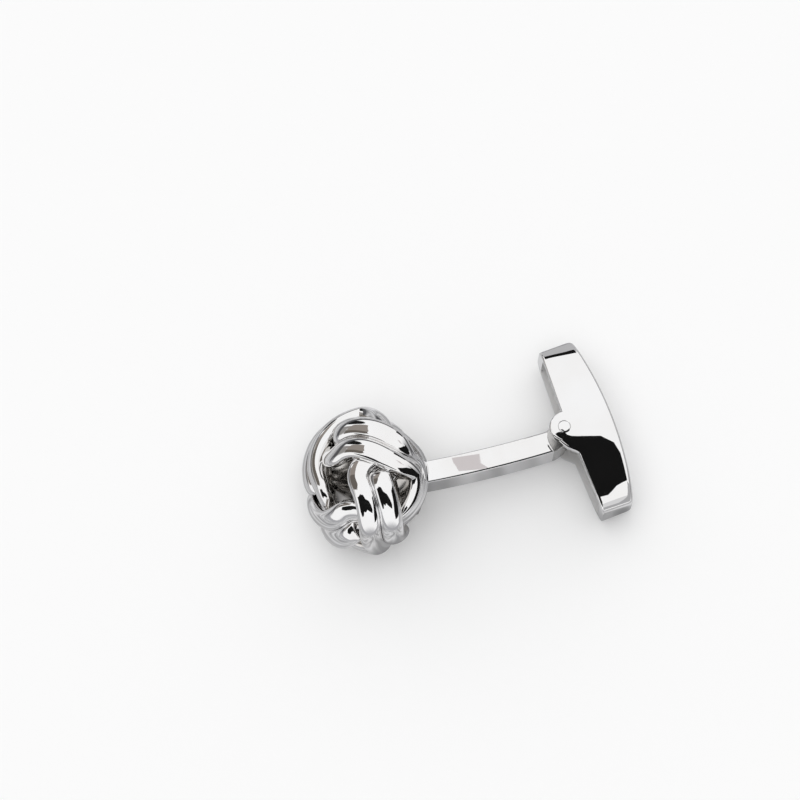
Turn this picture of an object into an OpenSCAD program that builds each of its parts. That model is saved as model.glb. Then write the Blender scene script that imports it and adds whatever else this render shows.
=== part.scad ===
// Knot cufflink: two interlocked double-strand rings, a bent bar post and a hollow swivel toggle.
// Millimetres, +Z up. Drawn as it rests on a surface by itself, toggle crosswise as for wearing.

/* [Knot] */
// Mean radius of the woven ball, to the middle of the bands
knot_r = 5.207; // [4:0.01:8]
// How far a band rises and dips as it goes over and under the other ring
weave = 0.649; // [0.3:0.01:1.2]
// Half the width of one strand; a band is two strands side by side
strand_w = 0.982; // [0.5:0.01:1.5]
// Height of a strand's rounded crown above the band's middle
crown = 0.579; // [0.3:0.01:1.2]
// Band thickness inward from its middle to its flat inside
inside = 0.74; // [0.3:0.01:1.5]
// Wall of the small cup behind the weave that carries the post
cup_wall = 0.8; // [0.4:0.05:1.5]
// Radius of the back cup's rim
cup_rim = 3.3; // [2:0.1:4.5]

/* [Post] */
// Post height across its narrow side
post_h = 1.98; // [1:0.01:4]
// Post width along the hinge pin
post_w = 4.2; // [2:0.01:6]
// Radius of the post's gentle bend
post_bend = 103; // [40:1:400]
// Distance from the pin's axis to the post's foot on the knot
post_len = 13.0; // [8:0.1:20]
// Tongue width between the toggle's cheeks
tongue_w = 4.1; // [1:0.01:5]
// Tongue radius round the pin
tongue_r = 1.16; // [0.8:0.01:2]

/* [Toggle] */
// Toggle width across the cheeks
toggle_w = 5.4; // [3:0.01:8]
// Length from the pin's axis to the upper end
toggle_up = 7.15; // [4:0.01:12]
// Length from the pin's axis to the lower end
toggle_down = 8.4; // [4:0.01:12]
// Distance from the pin's axis to the back at its highest
toggle_back = 4.34; // [2:0.01:8]
// Radius of the curved back
back_r = 32.5; // [15:0.1:80]
// Cheek thickness
cheek = 0.6; // [0.3:0.01:1.5]
// Back wall thickness
back_wall = 0.7; // [0.3:0.01:1.5]
// End wall thickness
end_wall = 0.9; // [0.3:0.01:2]
// Rounding at the toggle's ends
end_round = 1.1; // [0.2:0.01:2]
// Rounding along the toggle's back edges
back_round = 0.35; // [0.1:0.01:1]
// Radius of the lobes round the pin
lobe_r = 1.3; // [1:0.01:2]
// How far the toggle leans past square to the post, in degrees
lean = 5.2; // [0:0.1:20]

/* [Pin] */
// Pin radius
pin_r = 0.52; // [0.3:0.01:1]
// Radial play of the pin in the tongue
play = 0.04; // [0.01:0.01:0.1]

/* [Hidden] */
$fn = 64;
STATIONS = 92;
// knot centre and turn, seen from the pin's axis
KNOT_AT = [-17.714, 0.649, 0];
KNOT_TURN = [40.064, -32.891, -56.676];
// rest pose on the floor
REST = [-0.387, 7.114, 0];
SHIFT = [9.379, 0.446, 3.179];
SILVER = [0.86, 0.86, 0.87];

function unit(v) = v / norm(v);

// Middle line of ring k (0 or 1) at the angle q about the weave's own axis, in degrees.
function mid(k, q) =
  let (
    a = q - 90 * k,
    lat = 75.31 + 24.6 * cos(2 * a) + 2.58 * cos(4 * a) + 19.57 * sin(2 * a),
    r = knot_r + weave * sin(2 * a) - 0.2165 * cos(2 * a) + 0.171 * cos(4 * a),
    t = q + 9 * sin(4 * a)
  )
  [r * sin(lat) * cos(t), r * sin(lat) * sin(t), 0.85 * r * cos(lat)];

// Across and outward directions of the band at that angle.
function axes(k, q) =
  let (
    a = q - 90 * k,
    p = mid(k, q),
    t = unit(mid(k, q + 0.05) - mid(k, q - 0.05)),
    m = unit(p),
    n = unit(m - (m * t) * t),
    b = cross(t, n),
    w = 20.89 * cos(2 * a) + 6.49 * sin(2 * a)
  )
  [b * cos(w) - n * sin(w), n * cos(w) + b * sin(w)];

// Band section: two rounded strands outside, flat inside, as [across, outward].
SECTION = concat(
  [for (i = [0:7]) [strand_w + strand_w * cos(i * 180 / 7), crown * sin(i * 180 / 7)]],
  [for (i = [1:7]) [-strand_w + strand_w * cos(i * 180 / 7), crown * sin(i * 180 / 7)]],
  [[-1.97 * strand_w, -0.6 * inside], [-1.8 * strand_w, -inside],
   [1.8 * strand_w, -inside], [1.97 * strand_w, -0.6 * inside]]
);

module ring(k) {
  m = len(SECTION);
  pts = [
    for (i = [0:STATIONS - 1])
      let (q = i * 360 / STATIONS, p = mid(k, q), ax = axes(k, q))
      for (s = SECTION) p + s[0] * ax[0] + s[1] * ax[1]
  ];
  faces = [
    for (i = [0:STATIONS - 1])
      for (j = [0:m - 1])
        let (
          a = i * m + j,
          b = i * m + (j + 1) % m,
          c = ((i + 1) % STATIONS) * m + (j + 1) % m,
          d = ((i + 1) % STATIONS) * m + j
        )
        for (f = [[a, b, c], [a, c, d]]) f
  ];
  polyhedron(points = pts, faces = faces, convexity = 10);
}

// Everything is drawn from the pin's axis, post along X, then laid down as it rests.
module place() {
  translate(SHIFT) rotate(REST) children();
}

module post_bar(grow) {
  intersection() {
    translate([-3.2, post_bend - 0.85, 0]) difference() {
      cylinder(r = post_bend + post_h / 2 + grow, h = post_w + 2 * grow, center = true, $fn = 360);
      cylinder(r = post_bend - post_h / 2 - grow, h = post_w + 4 * grow + 1, center = true, $fn = 360);
    }
    translate([-post_len, -4, -5]) cube([post_len - 1.3, 8, 10]);
  }
}

module knot() {
  color(SILVER) place() difference() {
    union() {
      translate(KNOT_AT) rotate(KNOT_TURN) {
        ring(0);
        ring(1);
      }
      intersection() {
        translate(KNOT_AT) difference() {
          sphere(r = 4.75, $fn = 48);
          sphere(r = 4.75 - cup_wall, $fn = 48);
        }
        translate([-20, -0.2, 0]) rotate([0, 90, 0]) cylinder(r = cup_rim, h = 10, $fn = 48);
      }
      translate([-14.8, -0.37 - post_h / 2 - 0.15, -post_w / 2 - 0.15])
        cube([14.8 - post_len, post_h + 0.3, post_w + 0.3]);
    }
    post_bar(0.02);
  }
}

module tongue() {
  linear_extrude(height = tongue_w, center = true) union() {
    circle(r = tongue_r);
    polygon([
      [-2.6, 0.1], [-1.5, 0.12], [-0.62, 0.98], [0, 1.16], [0.6, -0.99],
      [-0.3, -1.5], [-1.2, -1.8], [-2.6, -1.8]
    ]);
  }
}

module post() {
  color(SILVER) place() difference() {
    union() {
      difference() {
        post_bar(0);
        translate([1.05, -0.8, 0]) cylinder(r = 2.6, h = 10, center = true);
      }
      tongue();
    }
    cylinder(r = pin_r + play, h = 10, center = true);
  }
}

module cheek_outline() {
  circle(r = lobe_r);
  polygon([
    [0, 0], [-1.27, -0.25], [-1.06, -0.75], [-0.8, -1.3], [-0.48, -1.83], [-0.1, -2.2], [0.28, -2.6],
    [0.36, -toggle_down - 1], [8, -toggle_down - 1], [8, toggle_up + 1], [0.57, toggle_up + 1], [0.27, 1.2]
  ]);
}

module end_outline(r) {
  y0 = -toggle_down;
  y1 = toggle_up;
  z = toggle_w / 2;
  translate([-z + r, y0]) square([2 * z - 2 * r, y1 - y0]);
  translate([-z, y0 + r]) square([2 * z, y1 - y0 - 2 * r]);
  for (a = [-1, 1]) {
    translate([a * (z - r), y0 + r]) circle(r = r);
    translate([a * (z - r), y1 - r]) circle(r = r);
  }
}

module rim_outline(r) {
  z = toggle_w / 2;
  translate([0, -z]) square([back_r - r, 2 * z]);
  translate([0, -z + r]) square([back_r, 2 * z - 2 * r]);
  for (a = [-1, 1]) translate([back_r - r, a * (z - r)]) circle(r = r);
}

module toggle() {
  color(SILVER) place() rotate([0, 0, lean]) difference() {
    intersection() {
      linear_extrude(height = toggle_w + 1, center = true) cheek_outline();
      translate([-3, 0, 0]) rotate([0, 90, 0]) linear_extrude(height = 12) end_outline(end_round);
      translate([toggle_back - back_r, 0, 0]) rotate_extrude($fn = 360) rim_outline(back_round);
    }
    intersection() {
      translate([toggle_back - back_r, 0, 0])
        cylinder(r = back_r - back_wall, h = toggle_w - 2 * cheek, center = true, $fn = 360);
      translate([-3, -toggle_down + end_wall, -5]) cube([12, toggle_up + toggle_down - 2 * end_wall, 10]);
    }
    cylinder(r = pin_r, h = 10, center = true);
  }
}

module hinge_pin() {
  color(SILVER) place() cylinder(r = pin_r, h = toggle_w, center = true);
}

knot();
post();
toggle();
hinge_pin();
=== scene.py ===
import math

import bmesh
import bpy
import numpy as np
from mathutils import Matrix, Vector


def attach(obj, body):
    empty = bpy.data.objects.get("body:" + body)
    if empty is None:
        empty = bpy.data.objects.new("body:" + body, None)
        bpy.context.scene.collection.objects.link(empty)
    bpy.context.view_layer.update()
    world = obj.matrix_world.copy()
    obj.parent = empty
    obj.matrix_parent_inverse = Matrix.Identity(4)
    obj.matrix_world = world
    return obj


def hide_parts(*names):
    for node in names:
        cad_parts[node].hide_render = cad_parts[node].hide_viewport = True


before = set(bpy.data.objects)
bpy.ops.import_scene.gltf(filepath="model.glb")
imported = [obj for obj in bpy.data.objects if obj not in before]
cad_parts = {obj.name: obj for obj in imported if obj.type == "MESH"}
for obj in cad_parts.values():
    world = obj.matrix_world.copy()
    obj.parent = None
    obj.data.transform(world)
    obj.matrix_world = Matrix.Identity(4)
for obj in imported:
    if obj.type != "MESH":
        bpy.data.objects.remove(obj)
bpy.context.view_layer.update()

# Everything is made in millimetres from the pin's axis, post along X and pin along Z,
# and is then laid down as it rests, in metres.
MM = 0.001
SHIFT = Vector((9.379, 0.446, 3.179))
ROLL, PITCH = math.radians(-0.387), math.radians(7.114)
PLACE = Matrix.Translation(SHIFT) @ Matrix.Rotation(PITCH, 4, "Y") @ Matrix.Rotation(ROLL, 4, "X")
KNOT_AT = Vector((-17.714, 0.649, 0.0))
KNOT_TURN = (math.radians(40.064), math.radians(-32.891), math.radians(-56.676))
LEAN_DEG = 5.2
LEAN = Matrix.Rotation(math.radians(LEAN_DEG), 4, "Z")

# The photograph's own axes (right, up, towards the viewer) of the post, the toggle and the pin.
POST_DIR = Vector((0.9591, 0.2714, -0.08))
TOGGLE_DIR = Vector((-0.2824, 0.9358, -0.2111))
PIN_DIR = Vector((0.0176, 0.225, 0.9742))
DESIGN_TO_VIEW = Matrix((POST_DIR, TOGGLE_DIR, PIN_DIR)).transposed()
VIEW_TO_WORLD = PLACE.to_3x3() @ DESIGN_TO_VIEW.transposed()
PIN_HALF = 2.7


def put(name, mesh, matrix, body, finishes, replaced):
    """Turns a mesh in millimetres into a piece of the part, in metres, where it rests."""
    mesh.transform(Matrix.Scale(MM, 4) @ PLACE @ matrix)
    piece = bpy.data.objects.new(name, mesh)
    bpy.context.scene.collection.objects.link(piece)
    while len(mesh.materials) < len(finishes):
        mesh.materials.append(None)
    for i, finish in enumerate(finishes):
        mesh.materials[i] = finish
    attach(piece, body)
    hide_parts(replaced)


def mesh_from(name, verts, faces, sharp_deg=40, inside=()):
    """A smooth-shaded mesh; the faces listed in inside get the second finish."""
    mesh = bpy.data.meshes.new(name)
    mesh.from_pydata([tuple(v) for v in verts], [], faces)
    for _ in range(2 if inside else 1):
        mesh.materials.append(None)
    for i in inside:
        mesh.polygons[i].material_index = 1
    bm = bmesh.new()
    bm.from_mesh(mesh)
    bmesh.ops.remove_doubles(bm, verts=bm.verts, dist=1e-5)
    bmesh.ops.recalc_face_normals(bm, faces=bm.faces)
    bm.to_mesh(mesh)
    bm.free()
    shade(mesh, sharp_deg)
    return mesh


def shade(mesh, sharp_deg):
    mesh.polygons.foreach_set("use_smooth", [True] * len(mesh.polygons))
    mesh.set_sharp_from_angle(angle=math.radians(sharp_deg))


def modified(mesh, kind, **settings):
    """The mesh with one modifier applied."""
    carrier = bpy.data.objects.new(mesh.name, mesh)
    bpy.context.scene.collection.objects.link(carrier)
    modifier = carrier.modifiers.new(kind.lower(), kind)
    for key, value in settings.items():
        setattr(modifier, key, value)
    graph = bpy.context.evaluated_depsgraph_get()
    result = bpy.data.meshes.new_from_object(carrier.evaluated_get(graph))
    bpy.data.objects.remove(carrier)
    return result


def lathe(name, profile, sides=64):
    """A closed round body from (radius, height) points that start and end on the axis."""
    count = len(profile)
    verts, faces = [], []
    for i in range(sides):
        turn = 2 * math.pi * i / sides
        verts += [(r * math.cos(turn), r * math.sin(turn), z) for r, z in profile]
    for i in range(sides):
        a, b = i * count, (i + 1) % sides * count
        faces += [(a + s, b + s, b + s + 1, a + s + 1) for s in range(count - 1)]
    return mesh_from(name, verts, faces, 25)


class Nodes:
    """Short ways to build a node tree."""

    def __init__(self, tree, empty=True):
        self.tree = tree
        if empty:
            tree.nodes.clear()

    def add(self, kind, **settings):
        made = self.tree.nodes.new("ShaderNode" + kind)
        for key, value in settings.items():
            setattr(made, key, value)
        return made

    def feed(self, socket, value):
        if isinstance(value, bpy.types.NodeSocket):
            self.tree.links.new(value, socket)
        else:
            socket.default_value = value

    def calc(self, operation, a, b=0.0, c=0.0):
        made = self.add("Math", operation=operation)
        for socket, value in zip(made.inputs, (a, b, c)):
            self.feed(socket, value)
        return made.outputs[0]

    def dot(self, a, b):
        made = self.add("VectorMath", operation="DOT_PRODUCT")
        self.feed(made.inputs[0], a)
        self.feed(made.inputs[1], b)
        return made.outputs["Value"]

    def ease(self, value, start, end):
        """0 at start, 1 at end, smooth between."""
        made = self.add("MapRange", interpolation_type="SMOOTHSTEP")
        self.feed(made.inputs["Value"], value)
        made.inputs["From Min"].default_value = start
        made.inputs["From Max"].default_value = end
        return made.outputs["Result"]

    def mix(self, share, a, b):
        made = self.add("Mix", data_type="RGBA")
        for name, value in (("Factor", share), ("A", a), ("B", b)):
            self.feed(made.inputs[name], value)
        return made.outputs["Result"]

    def noise(self, where, scale, detail, roughness=0.5):
        made = self.add("TexNoise")
        self.feed(made.inputs["Vector"], where)
        for name, value in (("Scale", scale), ("Detail", detail), ("Roughness", roughness)):
            made.inputs[name].default_value = value
        return made.outputs["Fac"]


# What every finish shares: the drifted colour beside the plain one, the span of the haze about
# its mean roughness, and the height of the polishing waves in metres.
DRIFT_TINT = (0.965, 0.955, 0.945)
HAZE_SPAN = (0.6, 1.6)
WAVE_HEIGHT = 0.000006


def metal(name, base, rough, grain, metallic=1.0, bump=0.08):
    """Plated metal: faint colour drift, handling haze in the gloss and hair-fine polishing waves."""
    material = bpy.data.materials.new(name)
    material.use_nodes = True
    shader = material.node_tree.nodes["Principled BSDF"]
    shader.inputs["Metallic"].default_value = metallic
    n = Nodes(material.node_tree, empty=False)
    where = n.add("TexCoord").outputs["Object"]
    darker = tuple(value * tint for value, tint in zip(base, DRIFT_TINT)) + (1,)
    drift = n.ease(n.noise(where, grain * 0.6, 3.0), 0.3, 0.7)
    n.feed(shader.inputs["Base Color"], n.mix(drift, darker, (*base, 1)))
    haze = n.add("MapRange")
    n.feed(haze.inputs["Value"], n.noise(where, grain, 6.0))
    haze.inputs["From Min"].default_value = 0.3
    haze.inputs["From Max"].default_value = 0.75
    haze.inputs["To Min"].default_value = rough * HAZE_SPAN[0]
    haze.inputs["To Max"].default_value = rough * HAZE_SPAN[1]
    n.feed(shader.inputs["Roughness"], haze.outputs["Result"])
    waves = n.add("Bump")
    waves.inputs["Strength"].default_value = bump
    waves.inputs["Distance"].default_value = WAVE_HEIGHT
    n.feed(waves.inputs["Height"], n.noise(where, grain * 1.4, 4.0))
    n.feed(shader.inputs["Normal"], waves.outputs["Normal"])
    return material


PLATE = (0.90, 0.90, 0.905)
KNOT_FINISH = metal("knot_polish", PLATE, 0.045, 420.0)
# The bands' inside faces: rougher and bumpier, and darker in colour, which is painted shade in the
# knot's hollow.
KNOT_INSIDE_PAINTED_SHADE = metal("knot_inside_painted_shade", (0.70, 0.685, 0.665), 0.11, 900.0, bump=0.35)
# The cup's dark colour is painted shade in the hollow behind the weave.
CUP_PAINTED_SHADE = metal("knot_cup", (0.56, 0.545, 0.53), 0.12, 420.0)
POST_FINISH = metal("post_polish", PLATE, 0.03, 420.0)
# The tongue's satin gloss is real; its darker colour is painted shade in the gap between the post's end
# and the cheeks.
TONGUE_SATIN_AND_PAINTED_SHADE = metal("tongue_satin_and_painted_shade", (0.52, 0.515, 0.51), 0.2, 900.0, metallic=0.9, bump=0.2)
TOGGLE_FINISH = metal("toggle_polish", PLATE, 0.014, 300.0, bump=0.05)
TOGGLE_INSIDE = metal("toggle_inside", (0.78, 0.78, 0.78), 0.5, 900.0, metallic=0.35, bump=0.4)
PIN_FINISH = metal("pin_polish", PLATE, 0.02, 700.0)

# The knot: two interlocked rings, each a band of two strands, woven over and under each other.
KNOT_R, WEAVE = 5.207, 0.649
STRAND_W, CROWN, INSIDE = 0.982, 0.579, 0.74
RING_STATIONS, STRAND_SIDES = 420, 18
# How the middle line goes round: its latitude and turn in degrees and its distance out in
# millimetres, as means and as waves that go twice or four times round; then the band's roll.
LAT_MEAN, LAT_COS_2, LAT_COS_4, LAT_SIN_2 = 75.31, 24.6, 2.58, 19.57
OUT_COS_2, OUT_COS_4, TURN_SIN_4 = 0.2165, 0.171, 9
ROLL_COS_2, ROLL_SIN_2 = 20.89, 6.49
FLATTEN = 0.85
CUP_Y = -0.1


def unit(v):
    return v / np.linalg.norm(v, axis=-1, keepdims=True)


def mid(ring, q):
    """Middle line of a ring (0 or 1) at the angles q about the weave's own axis."""
    a = q - math.pi / 2 * ring
    lat = LAT_MEAN + LAT_COS_2 * np.cos(2 * a) + LAT_COS_4 * np.cos(4 * a) + LAT_SIN_2 * np.sin(2 * a)
    lat = np.radians(lat)
    r = KNOT_R + WEAVE * np.sin(2 * a) - OUT_COS_2 * np.cos(2 * a) + OUT_COS_4 * np.cos(4 * a)
    turn = q + np.radians(TURN_SIN_4) * np.sin(4 * a)
    across = r * np.sin(lat)
    return np.stack([across * np.cos(turn), across * np.sin(turn), FLATTEN * r * np.cos(lat)], -1)


def ring_axes(ring, q):
    """Middle line and the band's across and outward directions."""
    step = math.radians(0.05)
    middle = mid(ring, q)
    forward = unit(mid(ring, q + step) - mid(ring, q - step))
    up = unit(middle)
    out = unit(up - (up * forward).sum(-1, keepdims=True) * forward)
    across = np.cross(forward, out)
    a = q - math.pi / 2 * ring
    w = np.radians(ROLL_COS_2 * np.cos(2 * a) + ROLL_SIN_2 * np.sin(2 * a))[..., None]
    return middle, across * np.cos(w) - out * np.sin(w), out * np.cos(w) + across * np.sin(w)


def band_section():
    """Two rounded strands outside and a flat inside with soft edges, as (across, outward) points,
    and the number of the point where the inside starts."""
    points = []
    for side in (1, -1):
        for i in range(STRAND_SIDES + (side < 0)):
            g = math.pi * i / STRAND_SIDES
            points.append((side * STRAND_W + STRAND_W * math.cos(g), CROWN * math.sin(g)))
    w = 2 * STRAND_W
    edge = [(w, -0.12), (0.995 * w, -0.3), (0.97 * w, -0.5), (0.93 * w, -0.65), (0.88 * w, -INSIDE)]
    flat = [(0.88 * w * t, -INSIDE) for t in (-0.6, -0.2, 0.2, 0.6)]
    points += [(-x, y) for x, y in edge] + flat + edge[::-1]
    inside_from = len(points) - len(edge) - len(flat) - 3
    return np.array(points), inside_from


def knot_ring(ring, name):
    section, inside_from = band_section()
    count = len(section)
    q = np.linspace(0, 2 * math.pi, RING_STATIONS, endpoint=False)
    middle, across, out = ring_axes(ring, q)
    verts = (middle[:, None, :] + section[None, :, :1] * across[:, None, :]
             + section[None, :, 1:] * out[:, None, :])
    faces, inside = [], []
    for i in range(RING_STATIONS):
        a, b = i * count, (i + 1) % RING_STATIONS * count
        for s in range(count):
            r = (s + 1) % count
            if s >= inside_from:
                inside.append(len(faces))
            faces.append((a + s, a + r, b + r, b + s))
    return mesh_from(name, verts.reshape(-1, 3), faces, 50, inside)


def knot_cup():
    """The dished cup behind the weave: a piece of a sphere's wall with a round rim."""
    outer, inner, rim = 4.75, 3.95, 3.3
    steps, sides = 16, 96

    def arc(radius, i):
        angle = math.asin(rim / radius) * i / steps
        return radius * math.cos(angle), radius * math.sin(angle)

    profile = [arc(outer, i) for i in range(steps + 1)] + [arc(inner, i) for i in range(steps, -1, -1)]
    count = len(profile)
    verts, faces = [], []
    for i in range(sides):
        turn = 2 * math.pi * i / sides
        verts += [(x, r * math.cos(turn), r * math.sin(turn)) for x, r in profile]
    for i in range(sides):
        a, b = i * count, (i + 1) % sides * count
        faces += [(a + s, a + s + 1, b + s + 1, b + s) for s in range(count - 1)]
    return mesh_from("knot_cup", verts, faces)


def knot_foot():
    """The block behind the cup that the post is soldered into."""
    low, high = (-14.8, -1.51, -2.25), (-13.0, 0.77, 2.25)
    verts = [(x, y, z) for x in (low[0], high[0]) for y in (low[1], high[1]) for z in (low[2], high[2])]
    faces = [(0, 1, 3, 2), (4, 6, 7, 5), (0, 4, 5, 1), (2, 3, 7, 6), (0, 2, 6, 4), (1, 5, 7, 3)]
    mesh = modified(mesh_from("knot_foot", verts, faces, 30), "BEVEL", width=0.12, segments=4)
    shade(mesh, 30)
    return mesh


def make_knot():
    rx, ry, rz = KNOT_TURN
    turn = Matrix.Rotation(rz, 4, "Z") @ Matrix.Rotation(ry, 4, "Y") @ Matrix.Rotation(rx, 4, "X")
    place = Matrix.Translation(KNOT_AT) @ turn
    for ring, name in enumerate(("knot_ring_a", "knot_ring_b")):
        put(name, knot_ring(ring, name), place, "head", (KNOT_FINISH, KNOT_INSIDE_PAINTED_SHADE), "knot")
    cup_at = Matrix.Translation(Vector((KNOT_AT.x, CUP_Y, 0.0)))
    put("knot_cup", knot_cup(), cup_at, "head", (CUP_PAINTED_SHADE,), "knot")
    put("knot_foot", knot_foot(), Matrix(), "head", (KNOT_FINISH,), "knot")


# The post: a gently bent bar, its near face slightly crowned and tilted, with a narrower tongue.
BEND_R, BEND_X, BEND_Y = 103.0, -3.2, 102.15
POST_H, POST_HALF_W, POST_EDGE = 1.98, 2.1, 0.17
FACE_CROWN, FACE_TILT = 0.015, 0.026
POST_FROM, SHOULDER_X, SHOULDER_Y, SHOULDER_R = -13.0, 1.05, -0.8, 2.6
SHOULDER_BEND_X = -1.4
TONGUE_R, TONGUE_HALF_W = 1.16, 2.05


def bend_y(x, off):
    """Height of the bent bar at x, off millimetres below its middle line."""
    return BEND_Y - math.sqrt((BEND_R + off) ** 2 - (x - BEND_X) ** 2)


def post_section():
    """The bar's section as (height off the middle, depth) points, and how many are on one face."""
    half_h, r = POST_H / 2, POST_EDGE
    arc = np.linspace(math.pi / 2, 0.0, 7)
    heights = [half_h - r + r * math.sin(a) for a in arc]
    depths = [POST_HALF_W - r + r * math.cos(a) for a in arc]
    face = list(np.linspace(half_h - r - 0.012, -half_h + r + 0.012, 13))
    heights = heights + face + [-o for o in reversed(heights)]
    depths = depths + [POST_HALF_W] * len(face) + list(reversed(depths))
    depths = [z - FACE_CROWN * (o / half_h) ** 2 - FACE_TILT * o for o, z in zip(heights, depths)]
    sides = list(np.linspace(0.97, -0.97, 7))
    loop = list(zip(heights, depths)) + [(-half_h, depths[-1] * t) for t in sides]
    loop += [(o, -z) for o, z in zip(reversed(heights), reversed(depths))]
    loop += [(half_h, -depths[0] * t) for t in sides]
    return loop, len(heights), len(sides)


def post_bar():
    """Stations along the bar, with a hollowed and rounded shoulder at the tongue."""
    loop, face_count, side_count = post_section()
    count = len(loop)
    half_h, r = POST_H / 2, POST_EDGE

    def point(along, level, o, z, inset):
        k = 1 - inset / half_h
        end_y = bend_y(SHOULDER_BEND_X, -o * k)
        end_x = SHOULDER_X - math.sqrt(SHOULDER_R ** 2 - (end_y - SHOULDER_Y) ** 2) - r * level
        x = POST_FROM + (end_x - POST_FROM) * along
        return (x, bend_y(x, -o * k), z * (1 - inset / POST_HALF_W))

    stations = [(t, 1.0, 0.0) for t in np.linspace(0, 1, 70)]
    rounding = np.linspace(math.pi / 12, math.pi / 2, 6)
    stations += [(1.0, 1 - math.sin(a), r * (1 - math.cos(a))) for a in rounding]
    verts = [point(t, level, o, z, inset) for t, level, inset in stations for o, z in loop]
    faces = []
    for i in range(len(stations) - 1):
        for j in range(count):
            k = (j + 1) % count
            faces.append((i * count + j, i * count + k, (i + 1) * count + k, (i + 1) * count + j))
    far = face_count + side_count
    for base in (0, (len(stations) - 1) * count):
        last = base + far + face_count - 1
        faces += [(base + j, base + j + 1, last - j - 1, last - j) for j in range(face_count - 1)]
        faces.append(tuple(range(base + face_count - 1, base + far + 1)))
        faces.append(tuple(range(last, base + count)) + (base,))
    return mesh_from("post_bar", verts, faces, 35)


def post_tongue():
    """The tongue between the cheeks: round about the pin, blending back into the bar."""
    arc_from, arc_step, arc_points = 118, 8.6, 25
    points = [(-2.6, 0.1), (-1.5, 0.12), (-0.62, 0.98)]
    for i in range(arc_points):
        a = math.radians(arc_from - i * arc_step)
        points.append((TONGUE_R * math.cos(a), TONGUE_R * math.sin(a)))
    points += [(-0.3, -1.5), (-1.2, -1.8), (-2.6, -1.8)]
    points = points[::-1]
    count = len(points)
    verts = [(x, y, z) for z in (-TONGUE_HALF_W, TONGUE_HALF_W) for x, y in points]
    faces = [tuple(range(count - 1, -1, -1)), tuple(range(count, 2 * count))]
    faces += [(i, (i + 1) % count, count + (i + 1) % count, count + i) for i in range(count)]
    mesh = modified(mesh_from("post_tongue", verts, faces, 30), "BEVEL", width=0.1, segments=4,
                    limit_method="ANGLE", angle_limit=math.radians(28))
    shade(mesh, 22)
    return mesh


def make_post():
    put("post_bar", post_bar(), Matrix(), "head", (POST_FINISH,), "post")
    put("post_tongue", post_tongue(), Matrix(), "head", (TONGUE_SATIN_AND_PAINTED_SHADE,), "post")


# The toggle: u runs along it from the pin, v from the open edge to the back, z across it.
UP, DOWN, BACK, BACK_R = 7.15, 8.4, 4.34, 32.5
HALF, CHEEK, BACK_WALL, END_WALL, BACK_ROUND = 2.7, 0.6, 0.7, 0.9, 0.35
LOBE, LIP, CORNER, CAVITY_ROUND = 1.3, 0.22, 0.35, 0.25
CROWN_R, CROWN_AT, CROSS_R, CROSS_AT = 170.0, -0.3, 120.0, 1.6
# Each end's roll, as (length, its gain with v, depth, its gain with v).
LOW_ROLL, TOP_ROLL = (1.8, 0.4, 1.25, 0.0), (0.9, 0.2, 0.9, 0.09)


def open_edge():
    """The cheeks' open edge as (u, v) points, from the lower end up past the lobe to the upper end."""
    lower = [(-DOWN, 0.36), (-7.6, 0.351), (-6.0, 0.33), (-4.5, 0.307), (-3.2, 0.289), (-2.75, 0.284)]
    notch = [(-2.6, 0.27), (-2.48, 0.18), (-2.32, 0.03), (-2.2, -0.1), (-2.0, -0.31), (-1.83, -0.48)]
    shoulder = [(-1.6, -0.63), (-1.3, -0.8), (-1.05, -0.94)]
    lobe_from, lobe_step, lobe_points = -52, 3.85, 41
    turns = [math.radians(lobe_from + i * lobe_step) for i in range(lobe_points)]
    lobe = [(LOBE * math.sin(a), -LOBE * math.cos(a)) for a in turns]
    lobe = [p for p in lobe if -1.046 < p[0] < 1.29]
    upper = [(1.297, 0.0), (1.3, 0.12), (1.303, 0.22), (1.34, 0.262), (1.5, 0.276), (2.5, 0.323)]
    upper += [(4.5, 0.43), (6.2, 0.52), (6.6, 0.54), (UP, 0.57)]
    points = []
    for u, v in lower + notch + shoulder + lobe + upper:
        if not points or u > points[-1][0] + 0.004:
            points.append((u, v))
    return points


def cheek_fall(u, v):
    """How far a cheek's face lies below its flat: a slight crown, and both ends rolled over."""
    fall = (u - CROWN_AT) ** 2 / (2 * CROWN_R) + (v - CROSS_AT) ** 2 / (2 * CROSS_R)
    for d, (length, longer, depth, deeper) in ((u + DOWN, LOW_ROLL), (UP - u, TOP_ROLL)):
        roll = length + longer * v
        if d < roll:
            fall += (depth + deeper * v) * (1 - math.sqrt(max(0.0, 1 - ((roll - d) / roll) ** 2)))
    return fall


def back_v(u, inset=0.0):
    """The curved back; its outer face is rounded off at the two ends."""
    v = BACK - BACK_R + math.sqrt((BACK_R - inset) ** 2 - u * u)
    d = max(0.0, min(u + DOWN, UP - u))
    if inset or d >= CORNER:
        return v
    return v - CORNER + math.sqrt(CORNER ** 2 - (CORNER - d) ** 2)


def toggle_stations(edge_us):
    """Rows along the toggle: the edge's own points, and closer rows where the ends roll over."""

    def eased(reach, count):
        return [reach * (1 - math.cos(i * math.pi / (2 * count))) for i in range(count + 1)]

    rows = [-DOWN + d for d in eased(3.6, 28)] + [UP - d for d in eased(2.6, 22)]
    rows += list(np.linspace(-5.0, 5.0, 54)) + [-DOWN + END_WALL, UP - END_WALL]
    us = []
    for u in sorted(set(edge_us + rows)):
        near = 0.0005 if u in edge_us else 0.012
        if not us or u - us[-1] >= near:
            us.append(u)
    return us


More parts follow.
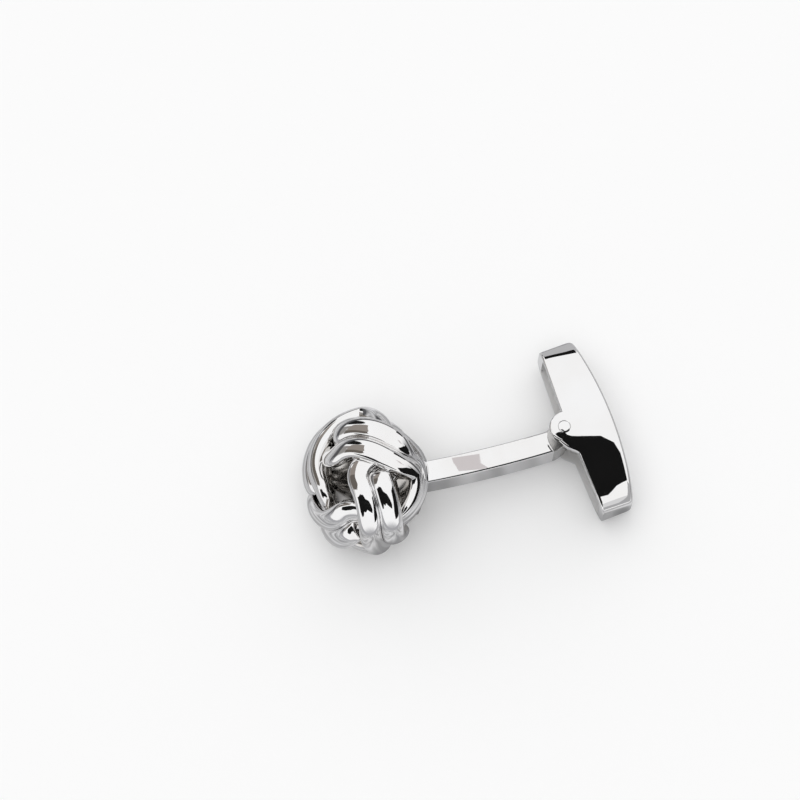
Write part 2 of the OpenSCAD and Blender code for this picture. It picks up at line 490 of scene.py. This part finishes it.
def toggle_mesh():
    edge_us, edge_vs = zip(*open_edge())
    us = toggle_stations(list(edge_us))
    verts, rows, rims, cavity = [], [], [], []

    def add(v, u, z):
        verts.append((v, u, z))
        return len(verts) - 1

    first = min(range(len(us)), key=lambda i: abs(us[i] + DOWN - END_WALL))
    last = min(range(len(us)), key=lambda i: abs(us[i] - UP + END_WALL))
    across = (0.012, 0.1, 0.2, 0.3, 0.4, 0.5, 0.6, 0.7, 0.8, 0.9, 0.985)
    for i, u in enumerate(us):
        back, edge = back_v(u), float(np.interp(u, edge_us, edge_vs))
        flat = back - BACK_ROUND - edge - LIP
        lip_z = HALF - cheek_fall(u, edge + LIP)
        path = [(edge + LIP * (1 - math.cos(a)), lip_z - LIP * (1 - math.sin(a)))
                for a in (q * math.pi / 10 for q in range(6))]
        path += [(edge + LIP + flat * t, HALF - cheek_fall(u, edge + LIP + flat * t)) for t in across]
        rim_z = HALF - cheek_fall(u, back - BACK_ROUND) - BACK_ROUND
        path += [(back - BACK_ROUND + BACK_ROUND * math.sin(a), rim_z + BACK_ROUND * math.cos(a))
                 for a in (s * math.pi / 16 for s in range(9))]
        loop = path + [(back, rim_z * t) for t in (0.97, 0.5, 0.0, -0.5, -0.97)]
        loop += [(v, -z) for v, z in reversed(path)]
        rows.append([add(v, u, z) for v, z in loop])
        wall_z = (HALF - cheek_fall(u, edge) - LIP) * (HALF - CHEEK) / (HALF - LIP)
        rims.append((add(edge, u, wall_z), add(edge, u, -wall_z)))
        if first <= i <= last:
            deep = back_v(u, BACK_WALL)
            q = CAVITY_ROUND
            half = [(edge + (deep - q - edge) * t, wall_z) for t in (0.5, 1.0)]
            half += [(deep - q + q * math.sin(a), wall_z - q + q * math.cos(a))
                     for a in (s * math.pi / 8 for s in range(1, 5))]
            full = half + [(deep, 0.0)] + [(v, -z) for v, z in reversed(half)]
            cavity.append([rims[-1][0]] + [add(v, u, z) for v, z in full] + [rims[-1][1]])
    faces, inside = [], []
    for i in range(len(us) - 1):
        a, b = rows[i], rows[i + 1]
        faces += [(a[s], a[s + 1], b[s + 1], b[s]) for s in range(len(a) - 1)]
        faces.append((a[0], b[0], rims[i + 1][0], rims[i][0]))
        faces.append((a[-1], rims[i][1], rims[i + 1][1], b[-1]))
        if first <= i < last:
            c, d = cavity[i - first], cavity[i + 1 - first]
            inside += range(len(faces), len(faces) + len(c) - 1)
            faces += [(c[s], d[s], d[s + 1], c[s + 1]) for s in range(len(c) - 1)]
        else:
            faces.append((rims[i][0], rims[i + 1][0], rims[i + 1][1], rims[i][1]))
    inside += [len(faces), len(faces) + 1]
    faces += [tuple(cavity[0]), tuple(reversed(cavity[-1]))]
    faces += [tuple(rows[i]) + (rims[i][1], rims[i][0]) for i in (0, -1)]
    return mesh_from("toggle_shell", verts, faces, 30, inside)


def bored(mesh):
    """The shell with the pin's hole through both cheeks, its edges chamfered."""
    hole, mouth, depth = 0.525, 0.64, HALF + 0.8
    profile = [(0.0, -depth), (mouth, -depth), (mouth, -HALF - 0.06), (hole, -HALF + 0.07)]
    profile += [(r, -z) for r, z in reversed(profile)]
    cutter = bpy.data.objects.new("bore_cutter", lathe("bore_cutter", profile))
    bpy.context.scene.collection.objects.link(cutter)
    result = modified(mesh, "BOOLEAN", object=cutter, operation="DIFFERENCE", solver="EXACT")
    bpy.data.objects.remove(cutter)
    shade(result, 24)
    return result


def pin_mesh():
    """The pin: slightly crowned heads, flush with the cheeks."""
    top, head_r = 2.68, 16.0
    head = [(r, top - r * r / (2 * head_r)) for r in (0.0, 0.1, 0.2, 0.3, 0.4, 0.46)]
    half = head + [(0.49, top - 0.012), (0.51, top - 0.03), (0.52, top - 0.07)]
    return lathe("hinge_pin_body", [(r, -z) for r, z in half] + half[::-1])


def make_toggle():
    put("toggle_shell", bored(toggle_mesh()), LEAN, "toggle", (TOGGLE_FINISH, TOGGLE_INSIDE), "toggle")
    put("hinge_pin_body", pin_mesh(), LEAN, "toggle", (PIN_FINISH,), "hinge_pin")


make_knot()
make_post()
make_toggle()

# The studio. Directions in it are degrees right of and above the photograph's viewpoint,
# and they stay fixed in the room when the camera moves. All its colours are linear.
BLACK, WHITE = (0.008, 0.008, 0.008), (1.0, 1.0, 1.0)
FLOOR_HALF, FLOOR_WHITE = 0.9, (0.95, 0.95, 0.95, 1)
# The floor as the metal shows it, all painted shade: streaks from dark to pale near the part, and greyer
# from
# FADE_FROM to FADE_TO metres away, darkest on the far side.
STREAK_DARK, STREAK_PALE = (0.33, 0.33, 0.335, 1), (0.73, 0.73, 0.74, 1)
STREAK_SCALE, STREAK_STRETCH = 190.0, (1.0, 0.22, 0.0)
FLOOR_FAR, FLOOR_FRONT = (0.10, 0.10, 0.105, 1), (0.40, 0.40, 0.415, 1)
FADE_FROM, FADE_TO, FRONT_DEPTH = 0.035, 0.10, 0.03
# The room's own light: its least, what it gains towards the photograph's top and what it gains
# overhead, and how bright it is behind the floor.
SHEET_LEAST, SHEET_TOP, SHEET_OVERHEAD, BACKDROP = 0.49, 0.59, 1.5, 0.92
OVERHEAD_FROM = 0.75
VIEW_UP = VIEW_TO_WORLD @ Vector((0, 1, 0))


def flat_mesh(name, corners, material):
    mesh = bpy.data.meshes.new(name)
    mesh.from_pydata([tuple(c) for c in corners], [], [tuple(range(len(corners)))])
    mesh.materials.append(material)
    made = bpy.data.objects.new(name, mesh)
    bpy.context.scene.collection.objects.link(made)
    return made


def make_floor():
    """White to the eye; in the metal's reflections a streaked grey of painted shade that darkens away
    from the part.
    """
    material = bpy.data.materials.new("floor_white_and_painted_shade")
    material.use_nodes = True
    n = Nodes(material.node_tree)
    where = n.add("TexCoord").outputs["Object"]
    distance = n.calc("SQRT", n.dot(where, where))
    front = n.ease(n.dot(where, tuple(VIEW_UP)), 0.0, -FRONT_DEPTH)
    beyond = n.mix(front, FLOOR_FAR, FLOOR_FRONT)
    stretched = n.add("VectorMath", operation="MULTIPLY")
    n.feed(stretched.inputs[0], where)
    stretched.inputs[1].default_value = STREAK_STRETCH
    streaks = n.ease(n.noise(stretched.outputs[0], STREAK_SCALE, 2.0), 0.36, 0.64)
    nearby = n.mix(streaks, STREAK_DARK, STREAK_PALE)
    seen = n.mix(n.ease(distance, FADE_FROM, FADE_TO), nearby, beyond)
    pale, painted_shade = n.add("BsdfDiffuse"), n.add("BsdfDiffuse")
    pale.inputs["Color"].default_value = FLOOR_WHITE
    n.feed(painted_shade.inputs["Color"], seen)
    which = n.add("MixShader")
    n.feed(which.inputs[0], n.add("LightPath").outputs["Is Glossy Ray"])
    n.feed(which.inputs[1], pale.outputs[0])
    n.feed(which.inputs[2], painted_shade.outputs[0])
    n.feed(n.add("OutputMaterial").inputs["Surface"], which.outputs[0])
    corners = [(x * FLOOR_HALF, y * FLOOR_HALF, 0) for x, y in ((-1, -1), (1, -1), (1, 1), (-1, 1))]
    flat_mesh("floor", corners, material)


class Room:
    """The light round the part: a white sheet, brightest overhead, and cards that only its
    reflections show."""

    def __init__(self, world):
        self.n = Nodes(world.node_tree)
        n = self.n
        away = n.add("VectorMath", operation="NORMALIZE")
        n.feed(away.inputs[0], n.add("TexCoord").outputs["Generated"])
        self.ray = away.outputs[0]
        right, self.over, near = (n.dot(self.ray, tuple(VIEW_TO_WORLD @ Vector(axis)))
                                  for axis in ((1, 0, 0), (0, 1, 0), (0, 0, 1)))
        angle = n.calc("MULTIPLY", n.calc("ARCCOSINE", near), 180 / math.pi)
        flat = n.calc("ADD", n.calc("MULTIPLY", right, right), n.calc("MULTIPLY", self.over, self.over))
        flat = n.calc("MAXIMUM", n.calc("SQRT", flat), 1e-4)
        self.x = n.calc("MULTIPLY", angle, n.calc("DIVIDE", right, flat))
        self.y = n.calc("MULTIPLY", angle, n.calc("DIVIDE", self.over, flat))
        self.ragged = n.calc("SUBTRACT", n.noise(self.ray, 13.0, 5.0, 0.62), 0.5)
        self.sky = (1.0, 1.0, 1.0, 1.0)

    def card(self, x, y, half_x, half_y, colour, turn=0, soft=0.1, wobble=0.0):
        """An oval card with its middle at x, y degrees; wobble makes its edge ragged."""
        n = self.n
        c, s = math.cos(math.radians(turn)), math.sin(math.radians(turn))
        dx, dy = n.calc("SUBTRACT", self.x, float(x)), n.calc("SUBTRACT", self.y, float(y))
        a = n.calc("ADD", n.calc("MULTIPLY", dx, c / half_x), n.calc("MULTIPLY", dy, s / half_x))
        b = n.calc("SUBTRACT", n.calc("MULTIPLY", dy, c / half_y), n.calc("MULTIPLY", dx, s / half_y))
        d = n.calc("SQRT", n.calc("ADD", n.calc("MULTIPLY", a, a), n.calc("MULTIPLY", b, b)))
        if wobble:
            d = n.calc("ADD", d, n.calc("MULTIPLY", self.ragged, wobble))
        self.sky = n.mix(n.ease(d, 1 + soft, 1 - soft), self.sky, colour)

    def skirting(self, colour):
        """A dark band near the floor on the far side, which outlines every rounded edge."""
        n = self.n
        low = n.ease(n.dot(self.ray, (0.0, 0.0, 1.0)), 0.09, 0.02)
        self.sky = n.mix(n.calc("MULTIPLY", low, n.ease(self.over, -0.45, -0.1)), self.sky, colour)

    def finish(self):
        n = self.n
        sheet = n.calc("MULTIPLY_ADD", n.ease(self.over, -0.1, 1.0), SHEET_TOP, SHEET_LEAST)
        overhead = n.ease(n.dot(self.ray, (0.0, 0.0, 1.0)), OVERHEAD_FROM, 1.0)
        sheet = n.calc("MULTIPLY_ADD", overhead, SHEET_OVERHEAD, sheet)
        background, path = n.add("Background"), n.add("LightPath")
        seen = n.mix(path.outputs["Is Camera Ray"], sheet, (BACKDROP, BACKDROP, BACKDROP, 1))
        n.feed(background.inputs["Color"], n.mix(path.outputs["Is Glossy Ray"], seen, self.sky))
        n.feed(n.add("OutputWorld").inputs["Surface"], background.outputs[0])


def make_room():
    world = bpy.data.worlds.new("studio")
    bpy.context.scene.world = world
    world.use_nodes = True
    room = Room(world)
    room.card(105, -5, 48, 60, (0.33, 0.33, 0.34, 1), soft=0.35)
    room.card(84, -36, 16, 14, (0.03, 0.03, 0.03, 1), turn=20, soft=0.25, wobble=0.3)
    room.card(-78, 36, 24, 9, (0.30, 0.28, 0.27, 1), soft=0.3, wobble=0.6)
    room.card(-92, 14, 17, 26, (0.30, 0.29, 0.28, 1), soft=0.3, wobble=0.5)
    room.card(-62, 70, 26, 14, (0.01, 0.01, 0.01, 1), turn=4, soft=0.08, wobble=0.2)
    room.card(0, -115, 100, 45, (0.50, 0.50, 0.515, 1), soft=0.2, wobble=0.15)
    room.skirting((0.08, 0.08, 0.083, 1))
    room.finish()


def near_card(name, colour, corners):
    """A small card that shows in the part's reflections alone. Its corners are in millimetres
    right of, above and nearer than the pin's head in the photograph."""
    material = bpy.data.materials.new(name)
    material.use_nodes = True
    n = Nodes(material.node_tree)
    glow = n.add("Emission")
    glow.inputs["Color"].default_value = (*colour, 1)
    n.feed(n.add("OutputMaterial").inputs["Surface"], glow.outputs[0])
    pin = PLACE @ Vector((0, 0, PIN_HALF))
    card = flat_mesh(name, [MM * (pin + VIEW_TO_WORLD @ Vector(corner)) for corner in corners], material)
    card.visible_camera = False
    card.visible_diffuse = False
    card.visible_shadow = False


def level(height, outline):
    """The corners of a card that lies level with the photograph."""
    return [(x, y, height) for x, y in outline]


def make_near_cards():
    near_card("card_toggle_black", BLACK, level(10.0, [
        (-0.72, 3.45), (-0.5, 3.85), (-0.15, 4.1), (0.45, 4.15), (0.8, 3.8), (1.37, 3.66),
        (4.3, 3.78), (5.65, 3.1), (6.5, 1.5), (8.25, -1.8), (9.1, -3.5), (8.02, -3.84),
        (7.47, -4.2), (7.4, -6.5), (6.2, -5.9), (7.4, -9.7), (6.0, -12.0), (3.0, -18.0),
        (-10.5, -19.0), (-12.5, -13.0), (-12.5, -5.0), (-6.0, -1.0), (-2.0, 0.2), (0.2, 1.2),
        (0.3, 2.5), (-0.1, 3.0), (-0.4, 3.25)]))
    near_card("card_toggle_white", WHITE, level(10.3, [
        (6.0, -4.1), (8.9, -3.4), (9.6, -6.0), (11.5, -11.0), (5.5, -11.5), (3.5, -9.0)]))
    near_card("card_toggle_pale", (0.72, 0.72, 0.73), level(10.5, [
        (3.5, -9.0), (11.5, -10.5), (14.0, -18.0), (5.5, -18.0)]))
    near_card("card_toggle_grey", (0.42, 0.42, 0.43), level(10.7, [
        (5.0, -4.0), (22.0, -4.0), (26.0, -32.0), (4.0, -32.0)]))
    near_card("card_toggle_top", BLACK, [
        (-5.5, 13.3, 0.7), (2.5, 13.3, 1.5), (2.5, 13.3, 5.0), (-5.5, 13.3, 6.2)])
    near_card("card_toggle_top_grey", (0.5, 0.5, 0.51), [
        (-8.0, 13.4, -9.0), (4.5, 13.4, -9.0), (4.5, 13.4, 1.9), (-8.0, 13.4, 1.2)])
    near_card("card_knot_black", BLACK, level(11.0, [
        (-40, -9.5), (-31, -7.6), (-26, -5.7), (-22, -5.4), (-20.2, -6.8), (-17.2, -7.1), (-15.2, -8.6),
        (-13.9, -10.4), (-14.3, -12.4), (-16.8, -11.8), (-19.6, -11.2), (-21.5, -12.9), (-24, -13.2),
        (-27, -17), (-34, -21), (-42, -20)]))
    near_card("card_knot_brown", (0.29, 0.26, 0.235), level(11.3, [
        (-70, -6), (-30, -2), (-26.5, 0.3), (-25, 3), (-25.5, 8), (-26.5, 16), (-70, 40)]))
    near_card("card_knot_dark_brown", (0.14, 0.125, 0.11), level(11.2, [
        (-70, -9), (-30, -4), (-26.0, -1.2), (-26.3, 1.4), (-31, 2.0), (-70, 8)]))
    near_card("card_post_grey", (0.67, 0.63, 0.635), level(10.0, [
        (-9.6, 3.09), (-7.1, 3.39), (-6.85, 1.79), (-6.05, 0.88), (-6.8, 0.8), (-8.8, 0.77),
        (-9.1, 1.58), (-9.4, 2.28)]))


make_floor()
make_room()
make_near_cards()

# The camera: straight down the photograph's line of sight, at its scale and place for the pin.
PX_PER_MM = 11.4
PIN_PX = (564.4, 426.5)
FRAME_PX = 800
DISTANCE = 400.0


def make_camera():
    data = bpy.data.cameras.new("camera")
    data.sensor_width = 36.0
    data.lens = data.sensor_width * DISTANCE / (FRAME_PX / PX_PER_MM)
    data.clip_start = 0.01
    data.clip_end = 10
    camera = bpy.data.objects.new("camera", data)
    bpy.context.scene.collection.objects.link(camera)
    bpy.context.scene.camera = camera
    middle = FRAME_PX / 2
    offset = Vector(((PIN_PX[0] - middle) / PX_PER_MM, (middle - PIN_PX[1]) / PX_PER_MM, -DISTANCE))
    stand = PLACE @ Vector((0, 0, PIN_HALF)) - VIEW_TO_WORLD @ offset
    matrix = VIEW_TO_WORLD.to_4x4()
    matrix.translation = stand * MM
    camera.matrix_world = matrix


make_camera()
bpy.context.scene.view_settings.view_transform = "Standard"
bpy.context.scene.view_settings.look = "None"
